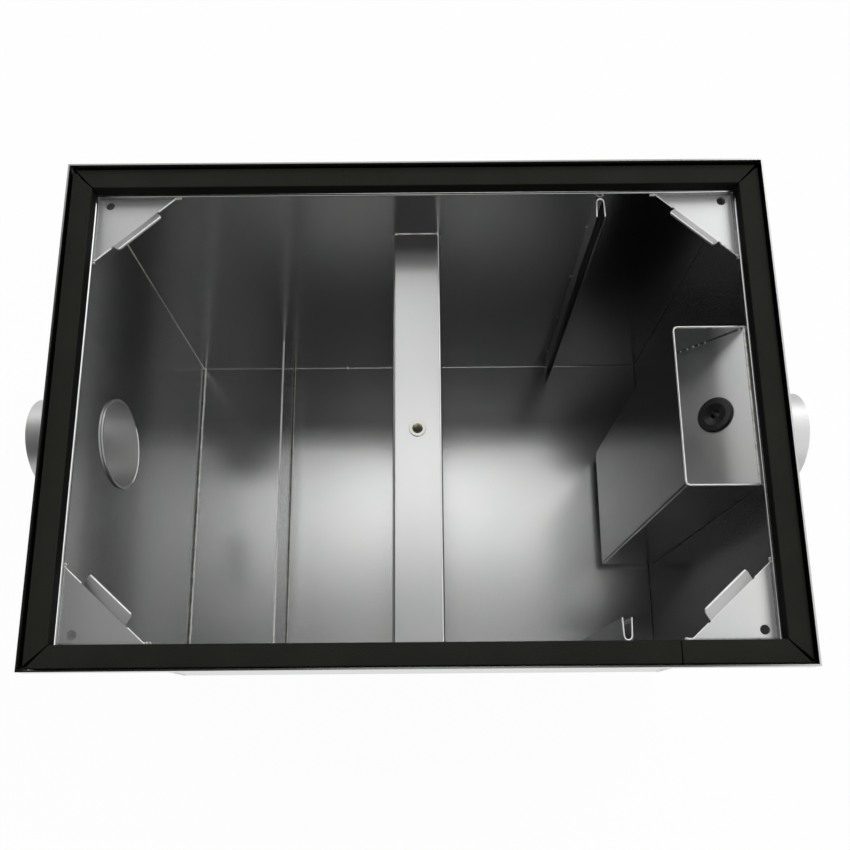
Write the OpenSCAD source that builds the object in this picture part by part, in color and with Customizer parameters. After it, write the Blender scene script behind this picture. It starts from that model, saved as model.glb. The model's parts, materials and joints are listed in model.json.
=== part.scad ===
// Open stainless steel grease trap: a folded sheet tank with a gasketed rim, pipe stubs,
// a sill, guides for a lift-out baffle, an outlet box with a vented hood, and corner plates.
// +X runs from the inlet to the outlet, +Y from the front to the back, +Z up.
// The origin is the middle of the tank's underside. Millimetres.

/* [Tank] */
// Length of the inside, between the end walls
inside_length = 600; // [520:5:760]
// Width of the inside, between the front and back walls
inside_width = 424; // [370:2:520]
// Depth of the inside, from the floor to the top of the flange
inside_depth = 340; // [310:2:420]
// Thickness of the sheet
sheet = 1.5; // [1.2:0.1:2]
// Inside radius of every fold in the sheet
bend_r = 1.2; // [0.8:0.1:2]

/* [Rim] */
// Width of the gasket strips
gasket_width = 18; // [12:0.5:26]
// Height of the gasket strips
gasket_height = 10; // [6:0.5:13]
// Gap between neighbouring gasket strips
gasket_seam = 0.4; // [0.2:0.1:1]
// Distance from the outlet wall to the butt joint in the front strip
gasket_joint = 86; // [40:1:200]
// Room between the folds of the rim beyond the gasket's width, on each side
gasket_play = 0.2; // [0.1:0.1:1]
// How far the gasket reaches over the rim's inner fold
gasket_overhang = 1.3; // [0:0.1:2]
// Height of the lip above the flange
lip_height = 14; // [8:0.5:20]

/* [Pipe stubs] */
// Outside diameter of the pipe
pipe_od = 88.9; // [76:0.1:102]
// Wall of the pipe
pipe_wall = 2; // [1.5:0.1:3]
// Length of the stub outside the end wall
pipe_out = 70; // [40:1:120]
// How far the pipe stands proud inside the tank
pipe_in = 2; // [1:0.5:6]
// Drop from the flange to the pipe's axis
pipe_drop = 91; // [80:1:130]
// Radial clearance of the pipe in its hole
pipe_fit = 0.2; // [0.1:0.05:0.5]
// Leg of the fillet weld around the pipe, on the outside of the end wall
pipe_weld = 2.5; // [1.5:0.1:4]

/* [Crossbar] */
// Width of the crossbar
bar_width = 48; // [36:1:70]
// Depth of the crossbar's sides
bar_leg = 20; // [10:1:30]
// Drop from the flange to the top of the crossbar
bar_drop = 57; // [40:1:90]
// Bore of the rivet nut's thread
nut_bore = 8.6; // [5:0.1:9]
// Diameter of the rivet nut's barrel
nut_barrel = 12.8; // [11:0.1:15]
// Diameter of the rivet nut's flange
nut_flange = 16; // [15.5:0.1:20]
// Thickness of the rivet nut's flange
nut_flange_t = 1; // [0.6:0.1:2]
// Length of the rivet nut below the crossbar's top
nut_length = 17; // [12:0.5:22]
// Radial clearance of the rivet nut in its hole
nut_fit = 0.1; // [0.05:0.05:0.3]

/* [Baffles] */
// Distance from the inlet wall to the middle of the sill
sill_offset = 125; // [90:1:200]
// Height of the sill above the floor
sill_height = 73; // [40:1:140]
// Distance from the outlet wall to the middle of the guides
guide_offset = 124; // [100:1:180]
// Outside width of a guide
guide_width = 8; // [7:0.1:14]
// Depth of a guide from the wall
guide_leg = 20; // [12:0.5:30]
// How far each side of a guide opens out at its edge
guide_flare = 0.6; // [0:0.1:1.5]
// Thickness of the guides
guide_sheet = 1.2; // [0.8:0.1:1.5]
// Drop from the flange to the top of the guides
guide_drop = 7; // [5:0.5:40]

/* [Outlet box] */
// Width of the box along the wall
box_width = 153; // [130:1:200]
// Depth of the box from the wall
box_depth = 65.5; // [56:0.5:85]
// Drop from the flange to the top of the box
box_drop = 6.5; // [5:0.5:8]
// Gap between the floor and the foot of the box
box_gap = 21; // [12:1:60]
// Drop from the flange to the hood plate at the wall
hood_drop = 7.5; // [5:0.5:16]
// Slope of the hood plate
hood_angle = 45; // [30:1:55]
// Distance from the wall to the middle of the vent
vent_out = 23.5; // [22:0.5:30]
// Bore of the vent grommet
vent_bore = 8; // [5:0.5:12]
// Diameter of the hole that holds the grommet
vent_hole = 27; // [25:0.5:29]
// Diameter of the grommet's lips
grommet_od = 33; // [31:0.5:35]
// Thickness of each grommet lip
grommet_lip = 2.6; // [1.5:0.1:3.5]
// Length of the grommet's sleeve below the hood plate
grommet_sleeve = 18; // [6:0.5:20]
// Wall of the grommet's sleeve
grommet_wall = 3.5; // [2:0.1:5]
// Diameter of the dish around the vent
dish_width = 21; // [16:0.5:24]
// Depth of the dish around the vent
dish_depth = 1.4; // [0.5:0.1:1.4]
// Clearance of the grommet in its hole
grommet_fit = 0.1; // [0.05:0.05:0.3]

/* [Corner plates] */
// Length of a corner plate along the front or back wall
corner_x = 72; // [60:1:100]
// Length of a corner plate along the end wall
corner_y = 66; // [56:1:100]
// Diameter of the bolt hole
corner_hole = 8.4; // [5:0.1:11]
// Distance from the end wall to the bolt hole
hole_x = 11; // [9:0.5:16]
// Distance from the front or back wall to the bolt hole
hole_y = 8; // [7:0.5:14]
// Width of the bent tab
tab_width = 52; // [30:1:60]
// Length of the bent tab
tab_length = 13.5; // [8:0.5:20]
// Angle that the tab is bent up
tab_angle = 28; // [10:1:60]
// Radius of the tab's outer corners
tab_corner = 4; // [1:0.5:6]
// Gap between the corner plates and the rim's fold
corner_inset = 0.3; // [0.2:0.1:3]

/* [Hidden] */
$fn = 64;
half_l = inside_length / 2;
half_w = inside_width / 2;
fold = bend_r + sheet;
flange_z = sheet + inside_depth;
// From a wall's inner face to the gasket, to the lip's inner face and to its outer face
gasket_in = fold - gasket_overhang;
lip_in = fold + gasket_width + 2 * gasket_play + bend_r;
rim = lip_in + sheet;
// A little more than any piece, for cuts that run right through
past = 1;
pipe_z = flange_z - pipe_drop;
bar_z = flange_z - bar_drop;
nut_bulge = nut_flange;
nut_bulge_h = 4;
nut_chamfer = 0.8;
sill_x = -half_l + sill_offset;
guide_x = half_l - guide_offset;
box_face = half_l - box_depth;
box_inner = box_face + sheet;
box_half = box_width / 2 - sheet;
hood_z = flange_z - hood_drop;
hood_rise = sheet / cos(hood_angle);
vent_z = hood_z - vent_out * tan(hood_angle);
corner_z = flange_z - fold - corner_inset;
fold_steps = 5;
steel = "#c3c5c2";
steel_edge = "#d4d6d2";
foam = "#26282a";

// Height on the top of the hood plate at a place along X
function hood_at(x) = hood_z - (half_l - x) * tan(hood_angle);

// Stands a profile drawn in Y and Z up, and runs it along X from x0 to x1
module along_x(x0, x1) {
    translate([x0, 0, 0]) rotate([90, 0, 90]) linear_extrude(x1 - x0) children();
}

// Stands a profile drawn in X and Z up, and runs it along Y, centred
module along_y(width) {
    rotate([90, 0, 0]) linear_extrude(width, center = true) children();
}

// A quarter of a fold: quadrant 0 is upper right, then anticlockwise
module quarter_fold(inner, thick, quadrant) {
    intersection() {
        difference() {
            circle(inner + thick);
            circle(inner);
        }
        rotate(90 * quadrant) square(inner + thick);
    }
}

// Section of a wall from its foot up through the flange and the lip, its inner face at u = half
module wall_section(half, foot) {
    translate([half, foot]) square([sheet, flange_z - fold - foot]);
    translate([half + fold, flange_z - fold]) quarter_fold(bend_r, sheet, 1);
    translate([half + fold, flange_z - sheet]) square([lip_in - fold - bend_r, sheet]);
    translate([half + lip_in - bend_r, flange_z + bend_r]) quarter_fold(bend_r, sheet, 3);
    translate([half + lip_in, flange_z + bend_r]) square([sheet, lip_height - bend_r]);
}

// Half of the folded sheet's section: floor, fold and wall
module wrapper_section() {
    square([half_w - bend_r, sheet]);
    translate([half_w - bend_r, fold]) quarter_fold(bend_r, sheet, 3);
    wall_section(half_w, fold);
}

// A slab with rounded lower corners, as the folded floor leaves it
module round_foot(half, radius, bottom, top) {
    translate([-half, bottom + radius]) square([2 * half, top - bottom - radius]);
    translate([-half + radius, bottom]) square([2 * (half - radius), 2 * radius]);
    for (side = [-1, 1])
        translate([side * (half - radius), bottom + radius]) circle(radius);
}

module tank_wrapper() {
    color(steel) intersection() {
        along_x(-half_l - rim, half_l + rim) for (side = [0, 1]) mirror([side, 0]) wrapper_section();
        // Mitres the flange and lip, and stops the floor and walls at the end walls
        linear_extrude(flange_z + lip_height + past) polygon([
            [-half_l - rim, -half_w - rim], [half_l + rim, -half_w - rim],
            [half_l, -half_w], [half_l, half_w],
            [half_l + rim, half_w + rim], [-half_l - rim, half_w + rim],
            [-half_l, half_w], [-half_l, -half_w]]);
    }
}

// An end wall on the +X end
module end_wall() {
    difference() {
        intersection() {
            along_y(2 * (half_w + rim)) wall_section(half_l, 0);
            linear_extrude(flange_z + lip_height + past) polygon([
                [half_l, -half_w], [half_l + rim, -half_w - rim],
                [half_l + rim, half_w + rim], [half_l, half_w]]);
            union() {
                along_x(half_l, half_l + sheet) round_foot(half_w + sheet, fold, 0, flange_z);
                translate([half_l, -half_w - rim, fold])
                    cube([rim, 2 * (half_w + rim), flange_z + lip_height]);
            }
        }
        translate([half_l - past, 0, pipe_z]) rotate([0, 90, 0])
            cylinder(h = sheet + 2 * past, d = pipe_od + 2 * pipe_fit);
    }
}

module inlet_end_wall() {
    color(steel) mirror([1, 0, 0]) end_wall();
}

module outlet_end_wall() {
    color(steel) end_wall();
}

// A pipe stub through the +X end wall, with the fillet weld that holds it
module pipe_stub() {
    inner = pipe_od / 2 - pipe_wall;
    outer = pipe_od / 2;
    translate([half_l + sheet, 0, pipe_z]) rotate([0, 90, 0]) rotate_extrude() polygon([
        [inner, -sheet - pipe_in], [outer, -sheet - pipe_in],
        [outer, 0], [outer + pipe_weld, 0], [outer, pipe_weld],
        [outer, pipe_out], [inner, pipe_out]]);
}

module inlet_pipe() {
    color(steel) mirror([1, 0, 0]) pipe_stub();
}

module outlet_pipe() {
    color(steel) pipe_stub();
}

// A strip of gasket on the +Y side, mitred at both ends: `half` is half the length of the wall
// that it follows, and `away` is how far that wall's inner face is from the middle
module gasket_strip(half, away) {
    cut = gasket_seam / sqrt(2);
    inner = half + gasket_in - cut;
    outer = inner + gasket_width;
    translate([0, away + gasket_in, flange_z]) linear_extrude(gasket_height)
        polygon([[-inner, 0], [inner, 0], [outer, gasket_width], [-outer, gasket_width]]);
}

module gasket_back() {
    color(foam) gasket_strip(half_l, half_w);
}

module gasket_inlet() {
    color(foam) rotate(90) gasket_strip(half_w, half_l);
}

module gasket_outlet() {
    color(foam) rotate(-90) gasket_strip(half_w, half_l);
}

// The front strip from x0 to x1
module gasket_front(x0, x1) {
    intersection() {
        rotate(180) gasket_strip(half_l, half_w);
        translate([x0, -half_w - rim, flange_z]) cube([x1 - x0, rim, gasket_height]);
    }
}

module gasket_front_long() {
    color(foam) gasket_front(-half_l - rim, half_l - gasket_joint - gasket_seam / 2);
}

module gasket_front_short() {
    color(foam) gasket_front(half_l - gasket_joint + gasket_seam / 2, half_l + rim);
}

// A point on the tab's fold, of radius r about a centre above the plate's edge, turned by an angle
function fold_point(r, angle) = [r * sin(angle), bend_r - r * cos(angle)];

// Section across a corner plate and its tab: flat up to the fold at x = 0, then bent up
module bent_section() {
    flat = corner_x + corner_y;
    turns = [for (i = [0:fold_steps]) tab_angle * i / fold_steps];
    tip = (tab_length + fold) * [cos(tab_angle), sin(tab_angle)];
    polygon(concat(
        [[-flat, 0], [-flat, -sheet]],
        [for (i = [0:fold_steps]) fold_point(fold, turns[i])],
        [fold_point(fold, tab_angle) + tip, fold_point(bend_r, tab_angle) + tip],
        [for (i = [fold_steps:-1:0]) fold_point(bend_r, turns[i])]));
}

// Moves to the middle of a corner plate's long edge, with x pointing away from the corner
module at_long_edge() {
    translate([corner_x / 2, corner_y / 2]) rotate(atan2(corner_x, corner_y)) children();
}

// Plan of a corner plate: the triangle and the tab, round at its outer corners
module corner_plan() {
    reach = tab_length * cos(tab_angle);
    half_tab = tab_width / 2;
    polygon([[0, 0], [corner_x, 0], [0, corner_y]]);
    at_long_edge() {
        translate([-fold, -half_tab]) square([fold + reach - tab_corner, tab_width]);
        translate([0, tab_corner - half_tab]) square([reach, tab_width - 2 * tab_corner]);
        for (side = [-1, 1])
            translate([reach - tab_corner, side * (half_tab - tab_corner)]) circle(tab_corner);
    }
}

// A corner plate for the corner at -X and -Y, its own corner at the origin
module corner_plate() {
    difference() {
        intersection() {
            at_long_edge() along_y(2 * (corner_x + corner_y)) bent_section();
            translate([0, 0, -sheet - past]) linear_extrude(sheet + tab_length + 2 * fold) corner_plan();
        }
        translate([hole_x, hole_y, -sheet - past]) cylinder(h = sheet + 2 * past, d = corner_hole);
    }
}

// Places a corner plate: end is -1 at the inlet and 1 at the outlet, side is -1 at the front
module placed_corner(end, side) {
    color(steel_edge) translate([end * half_l, side * half_w, corner_z])
        mirror([end > 0 ? 1 : 0, 0, 0]) mirror([0, side > 0 ? 1 : 0, 0]) corner_plate();
}

module corner_plate_back_inlet() {
    placed_corner(-1, 1);
}

module corner_plate_front_inlet() {
    placed_corner(-1, -1);
}

module corner_plate_back_outlet() {
    placed_corner(1, 1);
}

module corner_plate_front_outlet() {
    placed_corner(1, -1);
}

// Half of the crossbar's section: top, fold and side
module bar_section() {
    translate([0, bar_z - sheet]) square([bar_width / 2 - fold, sheet]);
    translate([bar_width / 2 - fold, bar_z - fold]) quarter_fold(bend_r, sheet, 0);
    translate([bar_width / 2 - sheet, bar_z - bar_leg]) square([sheet, bar_leg - fold]);
}

module crossbar() {
    color(steel_edge) difference() {
        along_y(inside_width) for (side = [0, 1]) mirror([side, 0]) bar_section();
        translate([0, 0, bar_z - sheet - past])
            cylinder(h = sheet + 2 * past, d = nut_barrel + 2 * nut_fit);
    }
}

// A flanged insert, swollen under the sheet so that it grips it
module rivet_nut() {
    barrel = nut_barrel / 2;
    bore = nut_bore / 2;
    color("#a9aaa4") translate([0, 0, bar_z]) rotate_extrude() polygon([
        [bore, -nut_length], [barrel, -nut_length],
        [barrel, -sheet - nut_bulge_h], [nut_bulge / 2, -sheet - nut_bulge_h / 2],
        [barrel, -sheet], [barrel, 0],
        [nut_flange / 2, 0], [nut_flange / 2, nut_flange_t],
        [bore + nut_chamfer, nut_flange_t], [bore, nut_flange_t - nut_chamfer]]);
}

module sill_baffle() {
    color(steel) along_x(sill_x - sheet / 2, sill_x + sheet / 2)
        round_foot(half_w, bend_r, sheet, sheet + sill_height);
}

// Half of a guide's section, its web against a wall at y = half_w
module guide_section() {
    guide_fold = bend_r + guide_sheet;
    translate([0, half_w - guide_sheet]) square([guide_width / 2 - guide_fold, guide_sheet]);
    translate([guide_width / 2 - guide_fold, half_w - guide_fold]) quarter_fold(bend_r, guide_sheet, 0);
    translate([guide_width / 2 - guide_sheet, half_w - guide_fold]) polygon([
        [0, 0], [guide_flare, guide_fold - guide_leg],
        [guide_flare + guide_sheet, guide_fold - guide_leg], [guide_sheet, 0]]);
}

// A guide on the +Y wall, clear of the fold at its foot
module guide() {
    translate([guide_x, 0, fold]) linear_extrude(flange_z - guide_drop - fold)
        for (side = [0, 1]) mirror([side, 0]) guide_section();
}

module guide_back() {
    color(steel) guide();
}

module guide_front() {
    color(steel) mirror([0, 1, 0]) guide();
}

// Half of the outlet box's section: front face, fold and side, open to the wall
module box_section() {
    translate([box_face, 0]) square([sheet, box_half - bend_r]);
    translate([box_face + fold, box_half - bend_r]) quarter_fold(bend_r, sheet, 1);
    translate([box_face + fold, box_half]) square([box_depth - fold, sheet]);
}

module outlet_box() {
    foot = sheet + box_gap;
    color(steel) translate([0, 0, foot]) linear_extrude(flange_z - box_drop - foot)
        for (side = [0, 1]) mirror([0, side]) box_section();
}

// Moves to the middle of the vent, with the hood plate's top at z = 0
module at_vent() {
    translate([half_l - vent_out, 0, vent_z]) rotate([0, -hood_angle, 0]) children();
}

module outlet_hood_plate() {
    color(steel_edge) difference() {
        intersection() {
            along_y(2 * box_half) polygon([
                [box_inner, hood_at(box_inner) - hood_rise], [half_l, hood_z - hood_rise],
                [half_l, hood_z], [box_inner, hood_at(box_inner)]]);
            // Rounds the lower corners to sit in the folds of the box
            linear_extrude(flange_z) rotate(-90) round_foot(box_half, bend_r, box_inner, half_l);
        }
        at_vent() translate([0, 0, -sheet - past]) cylinder(h = sheet + 2 * past, d = vent_hole);
    }
}

// Half section of one lip of the grommet, round at its rim
module grommet_lip_section() {
    bead = grommet_lip / 2;
    translate([vent_bore / 2, 0]) square([grommet_od / 2 - bead - vent_bore / 2, grommet_lip]);
    translate([grommet_od / 2 - bead, bead]) circle(bead);
}

// Half section of the grommet before its dish is cut: two lips, the neck between them and a sleeve
module grommet_section() {
    grommet_lip_section();
    translate([0, -sheet - grommet_lip]) grommet_lip_section();
    translate([vent_bore / 2, -sheet - grommet_lip / 2])
        square([(vent_hole - vent_bore) / 2 - grommet_fit, sheet + grommet_lip]);
    translate([vent_bore / 2, -sheet - grommet_sleeve]) square([grommet_wall, grommet_sleeve]);
}

module vent_grommet() {
    color(foam) at_vent() rotate_extrude() difference() {
        grommet_section();
        translate([0, grommet_lip]) polygon([
            [vent_bore / 2 - past, -dish_depth], [vent_bore / 2, -dish_depth],
            [dish_width / 2, 0], [dish_width / 2, past], [vent_bore / 2 - past, past]]);
    }
}

tank_wrapper();
inlet_end_wall();
outlet_end_wall();
inlet_pipe();
outlet_pipe();
gasket_back();
gasket_inlet();
gasket_outlet();
gasket_front_long();
gasket_front_short();
corner_plate_back_inlet();
corner_plate_front_inlet();
corner_plate_back_outlet();
corner_plate_front_outlet();
crossbar();
rivet_nut();
sill_baffle();
guide_back();
guide_front();
outlet_box();
outlet_hood_plate();
vent_grommet();
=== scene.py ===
# %% [markdown]
# # A stainless steel grease trap, open from above
#
# The tank is folded and welded from satin stainless sheet. A black foam gasket lies on its rim, a
# crossbar carries the nut for the lid's bolt, and a box on the right takes clean water out from under
# the grease. The sheet metal is already modelled to size and comes in as a frame that stays as it is.
# This lesson gives it its finish: metal that blurs what it mirrors, soft black foam, weld beads and
# tacks, a threaded insert, and the light that such a tank is photographed in.

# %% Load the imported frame
import json
import math

import bmesh
import bpy
from mathutils import Matrix, Vector


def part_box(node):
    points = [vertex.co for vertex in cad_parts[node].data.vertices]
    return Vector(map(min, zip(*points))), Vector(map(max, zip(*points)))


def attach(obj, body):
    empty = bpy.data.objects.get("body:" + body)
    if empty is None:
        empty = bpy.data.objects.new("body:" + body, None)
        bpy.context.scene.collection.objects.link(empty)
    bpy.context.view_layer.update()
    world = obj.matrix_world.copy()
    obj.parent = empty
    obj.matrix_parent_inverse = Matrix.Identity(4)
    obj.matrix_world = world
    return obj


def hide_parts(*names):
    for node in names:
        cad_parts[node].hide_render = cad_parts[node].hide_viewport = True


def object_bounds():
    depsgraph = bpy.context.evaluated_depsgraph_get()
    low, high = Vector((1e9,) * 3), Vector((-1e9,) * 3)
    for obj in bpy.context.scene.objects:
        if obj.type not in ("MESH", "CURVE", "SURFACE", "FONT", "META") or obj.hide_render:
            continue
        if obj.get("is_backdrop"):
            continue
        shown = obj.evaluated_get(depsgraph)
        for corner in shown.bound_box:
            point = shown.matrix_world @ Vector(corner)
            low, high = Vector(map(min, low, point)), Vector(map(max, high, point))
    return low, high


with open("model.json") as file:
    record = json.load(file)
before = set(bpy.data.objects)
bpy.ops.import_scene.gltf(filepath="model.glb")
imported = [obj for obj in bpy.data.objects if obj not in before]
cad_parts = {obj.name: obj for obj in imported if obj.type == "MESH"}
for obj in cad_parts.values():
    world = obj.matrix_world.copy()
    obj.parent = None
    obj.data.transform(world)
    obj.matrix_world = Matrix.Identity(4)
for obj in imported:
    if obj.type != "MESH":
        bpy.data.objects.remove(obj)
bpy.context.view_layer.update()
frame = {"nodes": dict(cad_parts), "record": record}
MM = 0.001
print("nodes in the frame:", len(frame["nodes"]))

# %% [markdown]
# ## The tank's main places
#
# Welds, tacks and bright edges are placed from the tank itself, so that they follow it if a size
# changes. A node's box gives its lowest and highest corner. The inner faces of the walls, the floor, the
# flange and the plates can all be read from the boxes of the pieces that touch them. Lengths are in
# metres.

# %% Read the main places from the frame
wall_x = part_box("outlet_end_wall")[0].x
wall_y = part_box("guide_back")[1].y
floor_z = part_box("sill_baffle")[0].z
flange_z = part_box("gasket_back")[0].z
rim_low, rim_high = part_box("tank_wrapper")
sheet = floor_z - rim_low.z
mounts = {mount["name"]: mount for mount in frame["record"]["mounts"]}
pipe_z = mounts["inlet_stub"]["pos_m"][2]
pipe_r = mounts["inlet_stub"]["dims"]["r_mm"] * MM
print(f"inside {2 * wall_x:.3f} by {2 * wall_y:.3f} m, flange at {flange_z:.4f} m, sheet {sheet:.4f} m")

# %% [markdown]
# ## Colours and nodes
#
# Colours are written as the hex values that a colour picker gives, which are sRGB. Shaders count in
# linear light, so one function converts them. One more function adds any node, sets its properties,
# and sets or links its inputs, for shaders and geometry alike. Two small ones make what the finishes
# share: noise of a given size, and a blend of two colours.


# %% Colour and node helpers
def linear(hex_colour):
    """An sRGB hex colour as linear red, green, blue and alpha."""
    parts = [int(hex_colour[i:i + 2], 16) / 255 for i in (1, 3, 5)]
    return [p / 12.92 if p <= 0.04045 else ((p + 0.055) / 1.055) ** 2.4 for p in parts] + [1.0]


def in_use(sockets, key):
    """The socket at an index, or the one of that name that the node's settings leave in use."""
    return sockets[key] if isinstance(key, int) else next(s for s in sockets if s.name == key and s.enabled)


def node(tree, kind, inputs=None, **settings):
    """Adds a node with its settings; an input is a value, or the socket that feeds it."""
    made = tree.nodes.new(kind)
    for name, value in settings.items():
        setattr(made, name, value)
    for key, value in (inputs or {}).items():
        socket = in_use(made.inputs, key)
        if isinstance(value, bpy.types.NodeSocket):
            tree.links.new(value, socket)
        else:
            socket.default_value = value
    return made


def new_material(name):
    """An empty material, and the node tree that draws it."""
    material = bpy.data.materials.new(name)
    material.use_nodes = True
    material.node_tree.nodes.clear()
    return material, material.node_tree


def surface(tree, shader):
    """Links a shader to the material's output."""
    node(tree, "ShaderNodeOutputMaterial", {"Surface": shader.outputs[0]})


def noise(tree, place, sizes_mm, **inputs):
    """Noise at a place, in patches of about these sizes along X, Y and Z."""
    scale = [1 / (size * MM) for size in sizes_mm]
    scaled = node(tree, "ShaderNodeMapping", {"Vector": place, "Scale": scale}).outputs[0]
    return node(tree, "ShaderNodeTexNoise", {"Vector": scaled, "Scale": 1.0, **inputs}).outputs["Fac"]


def blended(tree, share, first, second):
    """A colour between two others."""
    mix = node(tree, "ShaderNodeMix", {"Factor": share, "A": first, "B": second}, data_type="RGBA")
    return in_use(mix.outputs, "Result")


print("mid grey in linear light:", round(linear("#808080")[0], 3))


# %% [markdown]
# ## Satin stainless sheet
#
# The tank is cold-rolled stainless sheet with a smooth mill finish. It mirrors its surroundings a
# little blurred. Flat sheet is never quite flat: rolling and welding leave shallow waves, which bend
# the reflections. The grain of the rolling hardly shows, and only varies the blur. One function makes
# the sheet with its grain along a chosen direction, because each plate was cut another way. The corner
# plates and the crossbar are matt, with a wide haze and a faint clear reflection on top of it, which the
# shader's coat layer gives.


# %% Satin stainless sheet
SCUFFED = 0.08  # added to the roughness of the floor
SCUFF_TOP = floor_z + 8 * MM  # where the scuffs have faded out


def stainless_sheet(name, colour, roughness, grain_mm, wave_mm=0.2, clear=0.0):
    """Rolled stainless sheet; grain_mm is the grain's size along X, Y and Z, clear the coat's weight."""
    material, tree = new_material(name)
    place = node(tree, "ShaderNodeTexCoord").outputs["Object"]

    # Grain, drawn wider than the real one
    grain = noise(tree, place, grain_mm, Detail=3.0)
    rough = node(tree, "ShaderNodeMapRange", {
        "Value": grain, "To Min": 0.9 * roughness, "To Max": 1.1 * roughness})

    # The floor is scuffed, so its reflections are softer than those of the walls
    height = node(tree, "ShaderNodeSeparateXYZ", {"Vector": place}).outputs["Z"]
    scuffs = node(tree, "ShaderNodeMapRange", {
        "Value": height, "From Min": floor_z, "From Max": SCUFF_TOP, "To Min": SCUFFED, "To Max": 0.0},
        clamp=True)
    worn = node(tree, "ShaderNodeMath", {0: rough.outputs[0], 1: scuffs.outputs[0]}, operation="ADD")

    # Cloudy patches of slightly warmer and cooler metal, about 70 mm across
    clouds = noise(tree, place, (70, 70, 70))
    warm = [part * share for part, share in zip(linear(colour), (1.03, 1.0, 0.98, 1))]
    cool = [part * share for part, share in zip(linear(colour), (0.95, 0.97, 0.98, 1))]
    tint = blended(tree, clouds, warm, cool)

    # Waves about 130 mm long, and faint ripples about 25 mm long
    waves = noise(tree, place, (130, 130, 130), Detail=0.0)
    wavy = node(tree, "ShaderNodeBump", {"Height": waves, "Distance": wave_mm * MM, "Strength": 1.0})
    ripples = noise(tree, place, (25, 25, 25), Detail=1.0)
    rippled = node(tree, "ShaderNodeBump", {
        "Height": ripples, "Distance": 0.08 * wave_mm * MM, "Strength": 1.0, "Normal": wavy.outputs[0]})

    metal = node(tree, "ShaderNodeBsdfPrincipled", {
        "Base Color": tint, "Metallic": 1.0, "Roughness": worn.outputs[0],
        "Coat Weight": clear, "Coat Roughness": 0.2, "Coat IOR": 2.4, "Normal": rippled.outputs[0]})
    surface(tree, metal)
    return material


# The blur of the sheet gives soft reflections that fade with distance, as on satin steel
SHEET, SATIN = "#b4b5b5", 0.18
wrapper_metal = stainless_sheet("rolled_stainless_sheet_x", SHEET, SATIN, (60, 1.5, 1.5))
end_metal = stainless_sheet("rolled_stainless_sheet_y", SHEET, SATIN, (1.5, 60, 1.5))
upright_metal = stainless_sheet("rolled_stainless_sheet_z", SHEET, SATIN, (1.5, 1.5, 60), wave_mm=0.1)
hood_metal = stainless_sheet("flat_stainless_sheet", "#c4c5c5", 2 * SATIN, (1.5, 60, 1.5), wave_mm=0.05)
# Plates look evenly pale, the crossbar shades slowly along its length, and the pipes are evenly grey
plate_metal = stainless_sheet("matt_stainless_plate", "#c6c7c7", 0.5, (1.5, 60, 1.5), wave_mm=0.05,
                              clear=1.0)
bar_metal = stainless_sheet("matt_stainless_bar", "#acadad", 0.3, (1.5, 60, 1.5), wave_mm=0.05, clear=0.3)
pipe_metal = stainless_sheet("drawn_stainless_pipe", "#c4c5c5", 0.45, (1.5, 120, 120), wave_mm=0.05)
print("steel finishes:", [m.name for m in bpy.data.materials if "stainless" in m.name])

# %% [markdown]
# ## Foam rubber, moulded rubber, plated steel and weld metal
#
# The gasket is closed-cell foam strip: matte, nearly black with a green cast, and pitted by cut cells.
# The grommet is moulded rubber, darker and smoother. The threaded insert is plated steel. Weld metal is
# stainless that has melted: brighter and rougher than the sheet, with straw-coloured heat tint in places.
# Dark welds are painted shade along with heat tint, seams are a darker grey, and the white of sheared edges
# is a painted highlight.


# %% Foam rubber
def foam_rubber():
    """Closed-cell foam strip, its cells drawn coarser than the real ones so that they show."""
    material, tree = new_material("closed_cell_foam_rubber")
    place = node(tree, "ShaderNodeTexCoord").outputs["Object"]
    cells = noise(tree, place, (1.2, 1.2, 1.2), Detail=2.0)
    dust = noise(tree, place, (40, 40, 40), Detail=4.0)
    colour = blended(tree, dust, linear("#161813"), linear("#23241e"))
    pits = node(tree, "ShaderNodeBump", {"Height": cells, "Distance": 0.25 * MM, "Strength": 1.0})

    # The sides are painted nearly black: painted shade on the sides, which face away from the light, while
    # the top keeps the foam's colour
    facing = node(tree, "ShaderNodeNewGeometry").outputs["True Normal"]
    upward = node(tree, "ShaderNodeSeparateXYZ", {"Vector": facing}).outputs["Z"]
    skin = node(tree, "ShaderNodeMapRange", {"Value": upward, "From Min": 0.3, "From Max": 0.8}, clamp=True)
    painted_side_shade = blended(tree, skin.outputs[0], linear("#060705"), colour)
    rubber = node(tree, "ShaderNodeBsdfPrincipled", {
        "Base Color": painted_side_shade, "Roughness": 0.8, "Specular IOR Level": 0.15, "Normal": pits.outputs[0]})
    surface(tree, rubber)
    return material


foam = foam_rubber()
print("gasket:", foam.name)


# %% Grommet rubber
def moulded_rubber():
    """Moulded rubber with a faint skin texture."""
    material, tree = new_material("moulded_black_rubber")
    place = node(tree, "ShaderNodeTexCoord").outputs["Object"]
    skin = noise(tree, place, (0.9, 0.9, 0.9))
    rough = node(tree, "ShaderNodeMapRange", {"Value": skin, "To Min": 0.26, "To Max": 0.42})
    bumps = node(tree, "ShaderNodeBump", {"Height": skin, "Distance": 0.03 * MM, "Strength": 1.0})
    rubber = node(tree, "ShaderNodeBsdfPrincipled", {
        "Base Color": linear("#101110"), "Roughness": rough.outputs[0], "Normal": bumps.outputs[0]})
    surface(tree, rubber)
    return material


grommet_rubber = moulded_rubber()
print("grommet:", grommet_rubber.name)


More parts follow.
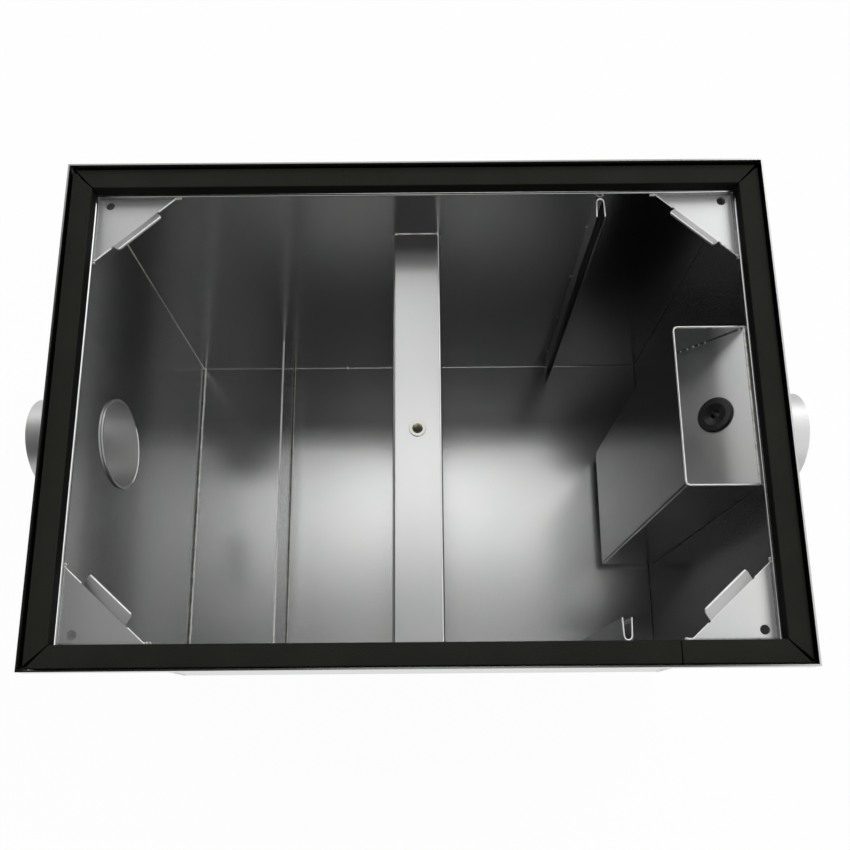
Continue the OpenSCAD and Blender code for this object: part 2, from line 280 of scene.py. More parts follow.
# %% Plated steel
def plated_steel():
    """Zinc-plated steel, slightly yellow and cloudy."""
    material, tree = new_material("zinc_plated_steel")
    place = node(tree, "ShaderNodeTexCoord").outputs["Object"]
    clouds = noise(tree, place, (2.5, 2.5, 2.5), Detail=3.0)
    colour = blended(tree, clouds, linear("#a9a89c"), linear("#c8c8c2"))
    rough = node(tree, "ShaderNodeMapRange", {"Value": clouds, "To Min": 0.24, "To Max": 0.4})
    metal = node(tree, "ShaderNodeBsdfPrincipled", {
        "Base Color": colour, "Metallic": 1.0, "Roughness": rough.outputs[0]})
    surface(tree, metal)
    return material


insert_steel = plated_steel()
print("insert:", insert_steel.name)


# %% Weld metal
def weld_metal(name, clean, tinted, roughness, metallic=1.0):
    """Melted or sheared stainless, with heat tint in patches about 9 mm long."""
    material, tree = new_material(name)
    place = node(tree, "ShaderNodeTexCoord").outputs["Object"]
    patches = noise(tree, place, (9, 9, 9))
    heated = node(tree, "ShaderNodeMapRange", {
        "Value": patches, "From Min": 0.52, "From Max": 0.75}, clamp=True)
    colour = blended(tree, heated.outputs[0], linear(clean), linear(tinted))
    metal = node(tree, "ShaderNodeBsdfPrincipled", {
        "Base Color": colour, "Metallic": metallic, "Roughness": roughness})
    surface(tree, metal)
    return material


# Beads are bright ridges; dark roots are painted shade along with heat tint, and a sheared edge is painted
# near white, a painted highlight that looks white from every side
bead_metal = weld_metal("stainless_weld_metal", "#e6e6e3", "#bdb49e", 0.42)
heat_tint_and_shade_metal = weld_metal("heat_tint_and_painted_shade_weld_metal", "#6b6a66", "#4c4842", 0.45)
seam_metal = weld_metal("darker_grey_stainless_seam", "#8c8d8d", "#7c7b78", 0.5)
highlight_metal = weld_metal("cut_stainless_edge", "#fcfcfb", "#f4f4f2", 0.6, metallic=0.1)
print("weld and edge finishes:", [m.name for m in (bead_metal, heat_tint_and_shade_metal, seam_metal, highlight_metal)])

# %% [markdown]
# ## Dressing the sheet metal
#
# Each piece of the frame keeps its shape and only changes its material. The table says which finish
# goes on which piece: the grain runs along the folded sheet, across the end walls, and up the guides
# and the outlet box, as the blanks were cut.

# %% Dress the frame's pieces
finishes = {
    wrapper_metal: ["tank_wrapper"],
    end_metal: ["inlet_end_wall", "outlet_end_wall", "sill_baffle"],
    upright_metal: ["guide_back", "guide_front", "outlet_box"],
    hood_metal: ["outlet_hood_plate"],
    bar_metal: ["crossbar"],
    plate_metal: [n for n in frame["nodes"] if n.startswith("corner_plate")],
    pipe_metal: ["inlet_pipe", "outlet_pipe"],
    foam: [n for n in frame["nodes"] if n.startswith("gasket")],
    grommet_rubber: ["vent_grommet"],
    insert_steel: ["rivet_nut"],
}
dressed = 0
for material, names in finishes.items():
    for name in names:
        for slot in frame["nodes"][name].material_slots:
            slot.material = material
        dressed += 1
print("dressed pieces:", dressed, "of", len(frame["nodes"]))


# %% [markdown]
# ## Weld beads
#
# A welder runs a bead along each joint: a narrow ridge of overlapping ripples that wanders a little.
# It could be modelled as one long mesh by hand, but it follows a path and repeats, so Geometry Nodes
# suit it. The tree takes a line of edges, makes it a curve, wanders it with noise, sets a radius that
# rises and falls with every ripple, and sweeps a circle along it. Every bead on the tank is the same
# tree with other sizes.


# %% The weld bead tree
def bead_tree():
    """Sweeps a rippled bead along the object's edges."""
    tree = bpy.data.node_groups.new("weld_bead", "GeometryNodeTree")
    tree.interface.new_socket("Path", in_out="INPUT", socket_type="NodeSocketGeometry")
    for name in ("Radius", "Pitch", "Step", "Wander", "Lumps", "Ripple"):
        tree.interface.new_socket(name, in_out="INPUT", socket_type="NodeSocketFloat")
    tree.interface.new_socket("Seed", in_out="INPUT", socket_type="NodeSocketInt")
    tree.interface.new_socket("Material", in_out="INPUT", socket_type="NodeSocketMaterial")
    tree.interface.new_socket("Bead", in_out="OUTPUT", socket_type="NodeSocketGeometry")
    given = node(tree, "NodeGroupInput").outputs

    curve = node(tree, "GeometryNodeMeshToCurve", {"Mesh": given["Path"]})
    fine = node(tree, "GeometryNodeResampleCurve", {"Curve": curve.outputs[0], "Length": given["Step"]},
                mode="LENGTH")

    # Wander: noise over 12 mm, centred on zero
    here = node(tree, "GeometryNodeInputPosition").outputs[0]
    drift = node(tree, "ShaderNodeTexNoise", {"Vector": here, "W": given["Seed"], "Scale": 1 / (12 * MM)},
                 noise_dimensions="4D")
    centred = node(tree, "ShaderNodeVectorMath", {0: drift.outputs["Color"], 1: (0.5, 0.5, 0.5)},
                   operation="SUBTRACT")
    shifted = node(tree, "ShaderNodeVectorMath", {0: centred.outputs[0], "Scale": given["Wander"]},
                   operation="SCALE")
    laid = node(tree, "GeometryNodeSetPosition", {"Geometry": fine.outputs[0], "Offset": shifted.outputs[0]})

    # Ripple: a sine along the length, and lumps from noise over 4 mm
    run = node(tree, "GeometryNodeSplineParameter").outputs["Length"]
    turns = node(tree, "ShaderNodeMath", {0: run, 1: given["Pitch"]}, operation="DIVIDE")
    angle = node(tree, "ShaderNodeMath", {0: turns.outputs[0], 1: math.tau}, operation="MULTIPLY")
    wave = node(tree, "ShaderNodeMath", {0: angle.outputs[0]}, operation="SINE")
    ripple = node(tree, "ShaderNodeMath", {0: wave.outputs[0], 1: given["Ripple"], 2: 1.0},
                  operation="MULTIPLY_ADD")
    lump = node(tree, "ShaderNodeTexNoise", {"Vector": here, "W": given["Seed"], "Scale": 1 / (4 * MM)},
                noise_dimensions="4D")
    signed = node(tree, "ShaderNodeMath", {0: lump.outputs["Fac"], 1: 0.5}, operation="SUBTRACT")
    swell = node(tree, "ShaderNodeMath", {0: signed.outputs[0], 1: given["Lumps"], 2: ripple.outputs[0]},
                 operation="MULTIPLY_ADD")
    radius = node(tree, "ShaderNodeMath", {0: swell.outputs[0], 1: given["Radius"]}, operation="MULTIPLY")

    ring = node(tree, "GeometryNodeCurvePrimitiveCircle", {"Resolution": 8, "Radius": 1.0})
    swept = node(tree, "GeometryNodeCurveToMesh", {
        "Curve": laid.outputs[0], "Profile Curve": ring.outputs[0], "Scale": radius.outputs[0],
        "Fill Caps": True})
    smooth = node(tree, "GeometryNodeSetShadeSmooth", {"Geometry": swept.outputs[0]})
    real = node(tree, "GeometryNodeRealizeInstances", {"Geometry": smooth.outputs[0]})
    painted = node(tree, "GeometryNodeSetMaterial", {
        "Geometry": real.outputs[0], "Material": given["Material"]})
    node(tree, "NodeGroupOutput", {"Bead": painted.outputs[0]})
    return tree


WELD_BEAD = bead_tree()
print("weld bead tree:", len(WELD_BEAD.nodes), "nodes")


# %% Grow pieces from points and lines
def grow(name, points, edges, tree, **sizes):
    """Runs a tree on a mesh of points and edges, and keeps the result as a plain mesh."""
    seed_mesh = bpy.data.meshes.new(name + "_path")
    seed_mesh.from_pydata(points, edges, [])
    piece = bpy.data.objects.new(name, seed_mesh)
    bpy.context.scene.collection.objects.link(piece)
    modifier = piece.modifiers.new("grow", "NODES")
    modifier.node_group = tree
    for socket in tree.interface.items_tree:
        if socket.in_out == "INPUT" and socket.name in sizes:
            modifier[socket.identifier] = sizes[socket.name]
    ready = piece.evaluated_get(bpy.context.evaluated_depsgraph_get())
    mesh = bpy.data.meshes.new_from_object(ready)
    piece.modifiers.clear()
    piece.data = mesh
    mesh.name = name
    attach(piece, "root")
    print(f"{name}: {len(mesh.polygons)} faces")
    return piece


def joined(lines):
    """Points and edges of several lines; a line whose first point comes again at its end is closed."""
    points, edges = [], []
    for line in lines:
        first = len(points)
        closed = line[0] == line[-1]
        points += line[:-1] if closed else line
        edges += [(i, i + 1) for i in range(first, len(points) - 1)]
        if closed:
            edges.append((len(points) - 1, first))
    return points, edges


def weld(name, lines, radius, pitch=2.2, wander=0.5, lumps=0.5, ripple=0.12, seed=1,
         material=bead_metal):
    """A weld bead along each line; sizes in millimetres, lumps and ripple as shares of the radius."""
    points, edges = joined(lines)
    return grow(name, points, edges, WELD_BEAD, Radius=radius * MM, Pitch=pitch * MM,
                Step=0.3 * pitch * MM, Wander=wander * MM, Lumps=lumps, Ripple=ripple, Seed=seed,
                Material=material)


def painted_highlight_line(name, lines, radius):
    """A smooth white line along each sheared edge, a painted highlight; radius in millimetres."""
    return weld(name, lines, radius, pitch=4, wander=0.0, lumps=0.0, ripple=0.0, material=highlight_metal)


# %% [markdown]
# ### Where the beads run
#
# The end walls are welded to the folded sheet along the floor and up the corners, the outlet box and
# its sloped plate are welded to the wall, and each pipe is welded all round. On the inlet side and at
# the sill the root of the weld is a dark bead, painted shade in the gap at the foot of the wall, and a
# thin white ridge beside it is a painted highlight. Most welds on the outlet side, and those around the
# pipes inside the tank, are dark all through: painted shade along with heat tint.

# %% Beads along the floor and up the corners
SIDES = (-1, 1)
CORNERS = [(end, side) for end in SIDES for side in SIDES]
plate_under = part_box("corner_plate_back_inlet")[0].z
sill_low, sill_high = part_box("sill_baffle")
INLET_RIDGE, SILL_RIDGE = 2.2 * MM, 1.7 * MM  # from a dark root, painted shade, to the ridge beside it with its painted highlight
FOLD_GAP = 4 * sheet  # the welds outside stop this far from the underside and from the flange
SILL_PROUD = 0.4  # millimetres that the sill's painted highlight stands past the plate, so that it shows


def along_floor(x, lift=0.0):
    """A line along the floor from the front wall to the back wall, at or above its surface."""
    return [(x, -wall_y, floor_z + lift), (x, wall_y, floor_z + lift)]


def upright(x, y, low, high):
    """A line straight up."""
    return [(x, y, low), (x, y, high)]


# The dark beads are painted shade along with heat tint, at the foot of the walls and of the sill; the white
# ridge beside the inlet root is a painted highlight
weld("weld_floor_inlet_root_painted_shade", [along_floor(-wall_x)], radius=1.0, wander=0.8, lumps=0.8, seed=2,
     material=heat_tint_and_shade_metal)
weld("weld_floor_inlet", [along_floor(-wall_x + INLET_RIDGE, lift=0.6 * MM)], radius=1.25, wander=1.4,
     lumps=1.2, seed=3, material=highlight_metal)
weld("weld_floor_outlet", [along_floor(wall_x)], radius=0.9, wander=0.8, lumps=0.7, seed=4,
     material=heat_tint_and_shade_metal)
weld("weld_corners_inlet", [upright(-wall_x, side * wall_y, floor_z, plate_under) for side in SIDES],
     radius=0.8, wander=0.3, lumps=0.3, seed=5)
weld("weld_corners_outlet", [upright(wall_x, side * wall_y, floor_z, plate_under) for side in SIDES],
     radius=0.6, wander=0.3, lumps=0.3, seed=17, material=heat_tint_and_shade_metal)
weld("weld_corners_outside", [upright(end * wall_x, side * (wall_y + sheet), FOLD_GAP, flange_z - FOLD_GAP)
                              for end, side in CORNERS], radius=0.9, wander=0.3, lumps=0.3, seed=6)
weld("weld_sill_root_painted_shade", [along_floor(sill_low.x), along_floor(sill_high.x)], radius=0.9, wander=0.2,
     lumps=0.3, seed=12, material=heat_tint_and_shade_metal)
weld("weld_sill", [along_floor(sill_low.x - SILL_RIDGE), along_floor(sill_high.x + SILL_RIDGE)],
     radius=0.45, wander=0.3, lumps=0.8, seed=13)
sill_x, sill_half = (sill_low.x + sill_high.x) / 2, (sill_high.x - sill_low.x) / 2
sill_top = sill_high.z - sill_half
painted_highlight_line("edge_sill", [[(sill_x, -wall_y, sill_top), (sill_x, wall_y, sill_top)]],
         radius=sill_half / MM + SILL_PROUD)
print(f"sill {2 * sill_half / MM:.2f} mm thick")

# %% [markdown]
# The sloped plate sits inside the box. Its slope comes from the direction of its vent, and its top
# edge meets the wall.

# %% Welds of the outlet box and its sloped plate
box_low, box_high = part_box("outlet_box")
hood_low, hood_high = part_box("outlet_hood_plate")
vent_axis = Vector(mounts["vent_bore"]["axis"])
hood_slope = -vent_axis.x / vent_axis.z
hood_foot = hood_high.z - (hood_high.x - hood_low.x) * hood_slope


def up_hood(y):
    """A line up the sloped plate's side."""
    return [(hood_low.x, y, hood_foot), (hood_high.x, y, hood_high.z)]


# The dark welds of the box and its sloped plate are painted shade along with heat tint
weld("weld_box_sides", [upright(wall_x, y, box_low.z, box_high.z) for y in (box_low.y, box_high.y)],
     radius=0.8, wander=0.4, lumps=0.5, seed=7, material=heat_tint_and_shade_metal)
weld("weld_hood", [up_hood(hood_low.y), up_hood(hood_high.y)], radius=0.9, pitch=4.5, wander=0.6,
     lumps=1.0, seed=8, material=heat_tint_and_shade_metal)
weld("weld_hood_top", [[(hood_high.x, hood_low.y, hood_high.z), (hood_high.x, hood_high.y, hood_high.z)]],
     radius=1.0, pitch=4.5, wander=1.0, lumps=1.0, seed=14)


# %% Welds around the pipes
def pipe_ring(x, radius, steps=72):
    """A closed ring about a pipe's axis."""
    angles = [math.tau * i / steps for i in range(steps)]
    ring = [(x, radius * math.cos(a), pipe_z + radius * math.sin(a)) for a in angles]
    return ring + ring[:1]


outer_face = wall_x + sheet
OFF = 0.6 * MM  # the middle of a bead outside lies this far off both the wall and the pipe
weld("weld_pipes_outside", [pipe_ring(end * (outer_face + OFF), pipe_r + OFF) for end in SIDES],
     radius=1.3, pitch=2.6, wander=0.5, lumps=0.4, seed=9)
# The dark ring inside the tank is painted shade along with heat tint
weld("weld_pipes_inside", [pipe_ring(end * wall_x, pipe_r) for end in SIDES],
     radius=0.5, wander=0.3, lumps=0.4, seed=10, material=heat_tint_and_shade_metal)

# A painted highlight: a white arc along the lower side of the inlet pipe's cut end, where it catches the
# light from above
bore_r = mounts["inlet_bore"]["dims"]["r_mm"] * MM
SUNK = 0.3 * MM  # the middle of the edge lies this deep in the pipe
LOWER_SIDE = slice(46, 64)  # of the ring's 72 points, of which number 54 is the lowest
mouth = pipe_ring(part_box("inlet_pipe")[1].x - SUNK, (bore_r + pipe_r) / 2)
painted_highlight_line("edge_inlet_pipe", [mouth[LOWER_SIDE]], radius=0.8)

# %% Welds of the crossbar
bar_low, bar_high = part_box("crossbar")
BEND = 2 * sheet  # from an edge to where its bend begins


def bar_outline(y):
    """The crossbar's section on a wall: up one side, over the top and down the other."""
    low, high, top = bar_low.x, bar_high.x, bar_high.z
    rising = [(low, y, bar_low.z), (low, y, top - BEND), (low + BEND, y, top)]
    falling = [(high - BEND, y, top), (high, y, top - BEND), (high, y, bar_low.z)]
    return rising + falling


weld("weld_crossbar", [bar_outline(side * wall_y) for side in SIDES], radius=0.8, wander=0.3, lumps=0.5,
     seed=11)

# %% [markdown]
# Sheared edges are bright. The top edges of the outlet box and of the guides show as thin white lines, which
# are a painted highlight: a smooth white bead, a little wider than the sheet, follows each edge round the
# bends of the fold.

# %% Bright edges of the box and the guides
ARC = 0.3 * BEND  # the middle of a bend lies this far in from both sides
EDGE_PROUD = 0.15  # millimetres that the box's painted highlight stands past the sheet, so that it shows


def box_edge():
    """The middle of the box's top edge, from the wall round both bends and back to the wall."""
    x, z = box_low.x + sheet / 2, box_high.z - sheet / 2
    half_way = []
    for y, inward in ((box_low.y + sheet / 2, 1), (box_high.y - sheet / 2, -1)):
        half_way.append([(wall_x, y, z), (x + BEND, y, z), (x + ARC, y + inward * ARC, z),
                         (x, y + inward * BEND, z)])
    return half_way[0] + half_way[1][::-1]


def guide_edge(name, side, gauge=1.2 * MM, flare=0.6 * MM):
    """The middle of a guide's top edge, from one leg's tip round the wall side to the other's."""
    low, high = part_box(name)
    middle, z = (low.x + high.x) / 2, high.z - gauge / 2
    tip = (high.x - low.x) / 2 - gauge / 2
    depth, near = high.y - low.y, wall_y - gauge / 2
    foot = tip - flare
    leg = [(tip, wall_y - depth), (foot, near - BEND), (0.7 * foot, near - ARC)]
    across = leg + [(0.0, near)] + [(-x, y) for x, y in leg[::-1]]
    return [(middle + x, side * y, z) for x, y in across]


# The white beads along the box and the guides are a painted highlight
painted_highlight_line("edge_box", [box_edge()], radius=sheet / 2 / MM + EDGE_PROUD)
painted_highlight_line("edges_guides", [guide_edge("guide_back", 1), guide_edge("guide_front", -1)], radius=0.75)

# %% [markdown]
# Each corner plate is closed against both walls with a smooth seam of darker grey metal. Its sheared edges
# are bright, with a painted highlight: the far edge of its tab, and the long edge on either side of the tab.


# %% Seams and bright edges of the corner plates
FOLD_PAST = 4 * MM  # the fold runs on this far past each end of the tab's far edge


def plate_lines(name):
    """A corner plate's seams along the walls, and its bright edges."""
    points = [vertex.co for vertex in frame["nodes"][name].data.vertices]
    low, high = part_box(name)
    end, side = math.copysign(1, low.x), math.copysign(1, low.y)
    level = low.z + sheet
    corner = Vector((end * wall_x, side * wall_y, level))
    tip_x = Vector((end * min(abs(low.x), abs(high.x)), corner.y, level))
    tip_y = Vector((corner.x, side * min(abs(low.y), abs(high.y)), level))
    far = sorted((p for p in points if p.z > high.z - 0.4 * sheet), key=lambda p: abs(p.x))
    along = (tip_y - tip_x).normalized()
    fold_ends = [tip_x + along * ((p - tip_x).dot(along) + reach) for p, reach in
                 ((far[0], -FOLD_PAST), (far[-1], FOLD_PAST))]
    down = Vector((0, 0, -sheet / 2))
    seams = [[tuple(tip_x), tuple(corner)], [tuple(corner), tuple(tip_y)]]
    edges = [[tuple(far[0]), tuple(far[-1])],
             [tuple(tip_x + down), tuple(fold_ends[0] + down)],
             [tuple(fold_ends[1] + down), tuple(tip_y + down)]]
    return seams, edges


plates = [plate_lines(name) for name in sorted(frame["nodes"]) if name.startswith("corner_plate")]
weld("seams_corner_plates", [line for seams, _ in plates for line in seams], radius=1.3, pitch=6,
     wander=0.2, lumps=0.1, seed=15, material=seam_metal)
# The white lines along the plates' sheared edges are a painted highlight
weld("edges_corner_plates", [line for _, edges in plates for line in edges], radius=0.7, pitch=6,
     wander=0.1, lumps=0.1, seed=16, material=highlight_metal)


# %% [markdown]
# ### Tacks
#
# Smaller joints are only tacked, with blobs of melted metal: at the tips of the corner plates, beside
# the guides, at the ends of the crossbar, along the sloped plate and at the back of the floor. Drops of
# spatter lie on the floor seams. Geometry Nodes put one small squashed ball on each point, turned and
# sized at random with a fixed seed.


# %% The tack tree
def tack_tree():
    """Puts a squashed ball on each of the object's points."""
    tree = bpy.data.node_groups.new("weld_tack", "GeometryNodeTree")
    tree.interface.new_socket("Points", in_out="INPUT", socket_type="NodeSocketGeometry")
    tree.interface.new_socket("Radius", in_out="INPUT", socket_type="NodeSocketFloat")
    tree.interface.new_socket("Seed", in_out="INPUT", socket_type="NodeSocketInt")
    tree.interface.new_socket("Material", in_out="INPUT", socket_type="NodeSocketMaterial")
    tree.interface.new_socket("Tacks", in_out="OUTPUT", socket_type="NodeSocketGeometry")
    given = node(tree, "NodeGroupInput").outputs
    blob = node(tree, "GeometryNodeMeshIcoSphere", {"Radius": given["Radius"], "Subdivisions": 2})
    turn = node(tree, "FunctionNodeRandomValue", {
        "Min": (0, 0, 0), "Max": (math.tau,) * 3, "Seed": given["Seed"]}, data_type="FLOAT_VECTOR")
    size = node(tree, "FunctionNodeRandomValue", {
        "Min": (0.6,) * 3, "Max": (1.3,) * 3, "Seed": given["Seed"]}, data_type="FLOAT_VECTOR")
    spread = node(tree, "GeometryNodeInstanceOnPoints", {
        "Points": given["Points"], "Instance": blob.outputs["Mesh"], "Rotation": turn.outputs["Value"],
        "Scale": size.outputs["Value"]})
    real = node(tree, "GeometryNodeRealizeInstances", {"Geometry": spread.outputs[0]})
    smooth = node(tree, "GeometryNodeSetShadeSmooth", {"Geometry": real.outputs[0]})
    painted = node(tree, "GeometryNodeSetMaterial", {
        "Geometry": smooth.outputs[0], "Material": given["Material"]})
    node(tree, "NodeGroupOutput", {"Tacks": painted.outputs[0]})
    return tree


WELD_TACK = tack_tree()
print("weld tack tree:", len(WELD_TACK.nodes), "nodes")


def tack(name, points, radius, seed=1):
    """A tack on each point; radius in millimetres."""
    return grow(name, points, [], WELD_TACK, Radius=radius * MM, Seed=seed, Material=bead_metal)


# %% Tacks of the plates, the guides and the crossbar
INSET = 0.5 * MM  # a large tack sits this far in from the wall, so that none comes through the sheet
SPACING = 2.5 * MM  # from one tack of a row to the next
tips = []
for name in (n for n in frame["nodes"] if n.startswith("corner_plate")):
    low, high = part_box(name)
    end, side = math.copysign(1, low.x), math.copysign(1, low.y)
    reach_x = min(abs(low.x), abs(high.x))
    reach_y = min(abs(low.y), abs(high.y))
    level = low.z + sheet
    tips += [(end * (reach_x - i * SPACING), side * (wall_y - INSET), level) for i in range(3)]
    tips += [(end * (wall_x - INSET), side * (reach_y - i * SPACING), level) for i in range(2)]
tack("tacks_corner_plates", tips, radius=1.4, seed=21)

guide_low, guide_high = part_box("guide_back")
rungs = [guide_low.z + (guide_high.z - guide_low.z) * (i + 0.5) / 4 for i in range(4)]
tack("tacks_guides", [(x, side * wall_y, z) for x in (guide_low.x, guide_high.x) for side in SIDES
                      for z in rungs], radius=0.5, seed=22)
bar_bends = (bar_low.x + BEND, bar_high.x - BEND)
tack("tacks_crossbar", [(x, side * (wall_y - INSET), bar_high.z) for x in bar_bends for side in SIDES],
     radius=1.5, seed=23)

# %% Tacks of the sloped plate and spatter on the floor seams
foot, top = (Vector(point) for point in up_hood(hood_high.y))
row = [0.14 + 0.065 * i for i in range(8)] + [0.96]  # shares of the way up the slope
tack("tacks_hood", [foot.lerp(top, share) for share in row], radius=1.5, seed=24)
burr_y, drop_y = 10 * MM, 31 * MM  # a burr climbs from the floor to the inlet wall, a drop lies by the sill
tack("spatter_floor", [(-wall_x + i * 1.2 * MM, burr_y + (i % 2) * 3 * MM, floor_z + (3 - i) * MM)
                       for i in range(4)] + [(sill_high.x + SILL_RIDGE, drop_y, floor_z)],
     radius=1.1, seed=25)
tack("tacks_floor_back", [(x, wall_y - INSET, floor_z + INSET) for x in (INSET - wall_x, -wall_x / 3)],
     radius=1.6, seed=26)

# %% [markdown]
# ## The foam strips
#
# Foam strip is cut with a knife, so its edges are a little round and its mitres show as fine grooves.
# It is soft, and spreads a little towards the lip around it. Each strip starts as a copy of the frame's
# own solid, whose loose triangles are merged and cleaned; its outer side moves out by half of the gap
# to the lip, and its edges get a small bevel. It then stands for the plain solid.


# %% Round the foam strips
gaskets = sorted(name for name in frame["nodes"] if name.startswith("gasket"))
foam_reach = [max(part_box(name)[1][axis] for name in gaskets) for axis in (0, 1)]
lip_gap = rim_high.y - sheet - foam_reach[1]
spread = lip_gap / 2
NEAR, ROUNDING = 0.05 * MM, 0.9 * MM  # what counts as on the outer side, and the width of the bevel
print(f"gap to the lip {lip_gap / MM:.2f} mm, the foam spreads by {spread / MM:.2f} mm")


def foam_strip(name):
    """A copy of a gasket strip, spread outwards and with rounded edges."""
    mesh = bpy.data.meshes.new(name.replace("gasket", "foam_strip"))
    shape = bmesh.new()
    shape.from_mesh(frame["nodes"][name].data)
    bmesh.ops.remove_doubles(shape, verts=shape.verts, dist=0.01 * MM)
    bmesh.ops.dissolve_limit(shape, angle_limit=math.radians(1), verts=shape.verts, edges=shape.edges)
    for vertex in shape.verts:
        for axis, reach in enumerate(foam_reach):
            if abs(vertex.co[axis]) > reach - NEAR:
                vertex.co[axis] += math.copysign(spread, vertex.co[axis])
    bmesh.ops.bevel(shape, geom=list(shape.edges), offset=ROUNDING, offset_type="OFFSET", segments=3,
                    profile=0.5, affect="EDGES")
    shape.to_mesh(mesh)
    shape.free()
    mesh.materials.append(foam)
    strip = bpy.data.objects.new(mesh.name, mesh)
    bpy.context.scene.collection.objects.link(strip)
    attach(strip, "root")
    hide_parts(name)
    return strip


strips = [foam_strip(name) for name in gaskets]
print("foam strips:", [(s.name, len(s.data.polygons)) for s in strips])

# %% [markdown]
# ## The threaded insert
#
# The lid's bolt screws into a flanged insert that is set in the crossbar. Its thread shows inside the
# bore, so it is modelled: a ring of points goes round for each height, and inside the bore its radius
# rises and falls as the thread climbs. All rings joined in a loop make one closed shape.


# %% Make the threaded insert
def threaded_insert():
    """A lathe-like insert whose bore carries a coarse thread."""
    low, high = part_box("rivet_nut")
    bore = mounts["lid_nut"]["dims"]["r_mm"] * MM
    flange = high.x
    barrel = 6.4 * MM
    pitch, depth, ease = 1.5 * MM, 0.6 * MM, 0.25 * MM
    flank = 1.25  # above 1, it leaves a flat on the crests of the thread
    under, bulge_h, chamfer = bar_high.z - sheet, 4 * MM, 0.8 * MM
    steps, per_turn = 48, 8

    def plain(radius, z):
        return [(radius, z)] * steps

    def thread(z):
        turns = [(z / pitch + i / steps) % 1 for i in range(steps)]
        return [(bore + depth * max(0.0, 1 - abs(2 * t - 1) * flank), z) for t in turns]

    rings = [plain(bore + chamfer, high.z), plain(flange - ease, high.z), plain(flange, high.z - ease),
             plain(flange, bar_high.z), plain(barrel, bar_high.z), plain(barrel, under),
             plain(flange, under - bulge_h / 2), plain(barrel, under - bulge_h), plain(barrel, low.z),
             plain(bore + chamfer, low.z)]
    start, stop = low.z + chamfer, high.z - chamfer
    count = round((stop - start) / pitch * per_turn)
    rings += [thread(start + (stop - start) * i / count) for i in range(count + 1)]

    points = []
    for ring in rings:
        for i, (radius, z) in enumerate(ring):
            angle = math.tau * i / steps
            points.append((radius * math.cos(angle), radius * math.sin(angle), z))
    faces = []
    for r in range(len(rings)):
        a, b = r * steps, (r + 1) % len(rings) * steps
        faces += [(a + i, a + (i + 1) % steps, b + (i + 1) % steps, b + i) for i in range(steps)]
    mesh = bpy.data.meshes.new("threaded_insert")
    mesh.from_pydata(points, [], faces)
    shape = bmesh.new()
    shape.from_mesh(mesh)
    bmesh.ops.recalc_face_normals(shape, faces=shape.faces)
    shape.to_mesh(mesh)
    shape.free()
    mesh.materials.append(insert_steel)
    insert = bpy.data.objects.new("threaded_insert", mesh)
    bpy.context.scene.collection.objects.link(insert)
    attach(insert, "root")
    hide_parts("rivet_nut")
    return insert


insert = threaded_insert()
print("threaded insert:", len(insert.data.polygons), "faces")

# %% [markdown]
# ## Floor and room
#
# Satin metal shows the room, so the room is half of its look. The tank stands on a wide white floor, in
# a dim room whose walls are white low down. Soft panels hang overhead: a strip above the back wall, a
# square lamp behind it, a small lamp between them and a lamp above the viewer light the floor and the
# crossbar, a tall window stands on the right, and the wall at the back is pale. Everything else overhead
# is dark, which leaves the walls of the tank dark between the panels.


# %% The floor
GLOW = 0.96  # the share of the floor's white that is its own light; the rest takes the shadow


def white_floor():
    """A pale floor that stays white in the picture and in reflections, and still takes a soft shadow."""
    material, tree = new_material("white_studio_floor")
    path = node(tree, "ShaderNodeLightPath").outputs
    seen = node(tree, "ShaderNodeMath", {0: path["Is Camera Ray"], 1: path["Is Glossy Ray"]},
                operation="MAXIMUM")
    through = node(tree, "ShaderNodeMath", {0: seen.outputs[0], 1: path["Is Transmission Ray"]},
                   operation="MAXIMUM")
    share = node(tree, "ShaderNodeMath", {0: through.outputs[0], 1: GLOW}, operation="MULTIPLY")
    matte = node(tree, "ShaderNodeBsdfDiffuse", {"Color": linear("#f4f4f2")})
    white = node(tree, "ShaderNodeEmission", {"Color": (1, 1, 1, 1), "Strength": 1.0})
    blend = node(tree, "ShaderNodeMixShader", {0: share.outputs[0], 1: matte.outputs[0], 2: white.outputs[0]})
    surface(tree, blend)
    half, level = 15.0, -0.2 * MM  # half its width, and its height just under the tank
    mesh = bpy.data.meshes.new("studio_floor")
    corners = [(-half, -half, level), (half, -half, level), (half, half, level), (-half, half, level)]
    mesh.from_pydata(corners, [], [(0, 1, 2, 3)])
    mesh.materials.append(material)
    floor = bpy.data.objects.new("studio_floor", mesh)
    bpy.context.scene.collection.objects.link(floor)
    floor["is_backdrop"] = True
    return floor


print("floor:", white_floor().name)

# %% The panels
PANELS = [  # centre and half size on a ceiling one metre up, in metres, and strength
    ((0.04, 0.30), (0.28, 0.06), 3.4),  # strip light above the back wall
    ((-0.06, 0.61), (0.12, 0.12), 2.1),  # square lamp, farther back
    ((0.0, 0.41), (0.06, 0.06), 4.0),  # small lamp between the two
    ((0.04, -0.14), (0.15, 0.16), 2.6),  # lamp above the viewer
    ((0.9, -0.1), (0.35, 1.9), 2.8),  # tall window on the right
    ((-0.1, 1.6), (2.4, 0.73), 1.55),  # pale wall at the back
]
print("soft panels overhead:", len(PANELS))


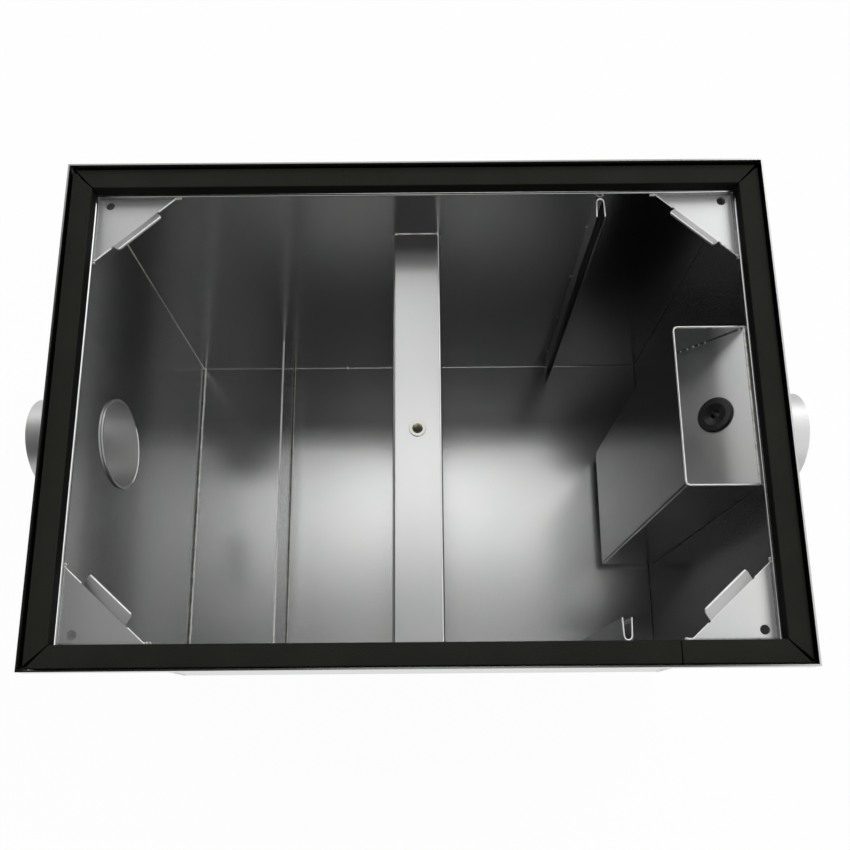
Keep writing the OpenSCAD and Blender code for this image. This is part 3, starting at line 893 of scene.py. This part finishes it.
# %% The room
def soft_panel(tree, slope, centre, half, strength):
    """A bright rectangle overhead, in metres one metre up, that fades from 0.6 to 1.4 of its half size."""
    away = node(tree, "ShaderNodeVectorMath", {0: slope, 1: (*centre, 0)}, operation="SUBTRACT")
    size = node(tree, "ShaderNodeVectorMath", {0: away.outputs[0]}, operation="ABSOLUTE")
    share = node(tree, "ShaderNodeVectorMath", {0: size.outputs[0], 1: (*half, 1)}, operation="DIVIDE")
    split = node(tree, "ShaderNodeSeparateXYZ", {"Vector": share.outputs[0]}).outputs
    most = node(tree, "ShaderNodeMath", {0: split["X"], 1: split["Y"]}, operation="MAXIMUM")
    fade = node(tree, "ShaderNodeMapRange", {
        "Value": most.outputs[0], "From Min": 0.6, "From Max": 1.4, "To Min": strength, "To Max": 0.0},
        interpolation_type="SMOOTHSTEP", clamp=True)
    return fade.outputs[0]


def studio_room():
    """A dim room with white walls low down and soft panels overhead."""
    world = bpy.data.worlds.new("studio_room")
    world.use_nodes = True
    tree = world.node_tree
    tree.nodes.clear()
    toward = node(tree, "ShaderNodeTexCoord").outputs["Generated"]
    height = node(tree, "ShaderNodeSeparateXYZ", {"Vector": toward}).outputs["Z"]

    # Where a direction meets a ceiling one metre up; directions near or below level count as very far
    above = node(tree, "ShaderNodeMath", {0: height, 1: 0.05}, operation="MAXIMUM")
    per_height = node(tree, "ShaderNodeMath", {0: 1.0, 1: above.outputs[0]}, operation="DIVIDE")
    slope = node(tree, "ShaderNodeVectorMath", {0: toward, "Scale": per_height.outputs[0]},
                 operation="SCALE").outputs[0]

    # The walls are white up to 14 degrees above level, and fade to nearly black at 30 degrees
    walls = node(tree, "ShaderNodeMapRange", {
        "Value": height, "From Min": 0.25, "From Max": 0.5, "To Min": 1.0, "To Max": 0.01}, clamp=True)
    total = walls.outputs[0]
    for centre, half, strength in PANELS:
        panel = soft_panel(tree, slope, centre, half, strength)
        total = node(tree, "ShaderNodeMath", {0: total, 1: panel}, operation="ADD").outputs[0]
    light = node(tree, "ShaderNodeBackground", {"Color": (1, 1, 1, 1), "Strength": total})
    node(tree, "ShaderNodeOutputWorld", {"Surface": light.outputs[0]})
    bpy.context.scene.world = world
    return world


print("room:", studio_room().name)

# %% [markdown]
# ## The camera
#
# The picture looks almost straight down into the tank from above its front edge. The walls keep their
# upright look because the lens is shifted up, so the camera here is tilted only a little and shifted too.

# %% The camera
camera_data = bpy.data.cameras.new("camera")
camera_data.sensor_width = 36.0
camera_data.lens = 31.17
camera_data.shift_y = 0.176
camera = bpy.data.objects.new("camera", camera_data)
stand = (0.0063, -0.2827, 0.9484)
tilt, yaw, roll = (math.radians(angle) for angle in (11.84, 0.02, -0.46))
camera.matrix_world = (Matrix.Translation(stand) @ Matrix.Rotation(tilt, 4, "X")
                       @ Matrix.Rotation(yaw, 4, "Y") @ Matrix.Rotation(roll, 4, "Z"))
bpy.context.scene.collection.objects.link(camera)
bpy.context.scene.camera = camera
bpy.context.scene.view_settings.view_transform = "Standard"
print("camera at", [round(part, 3) for part in camera.location])

# %% Visual size
low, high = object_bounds()
print("visual size:", [round(part, 4) for part in high - low])
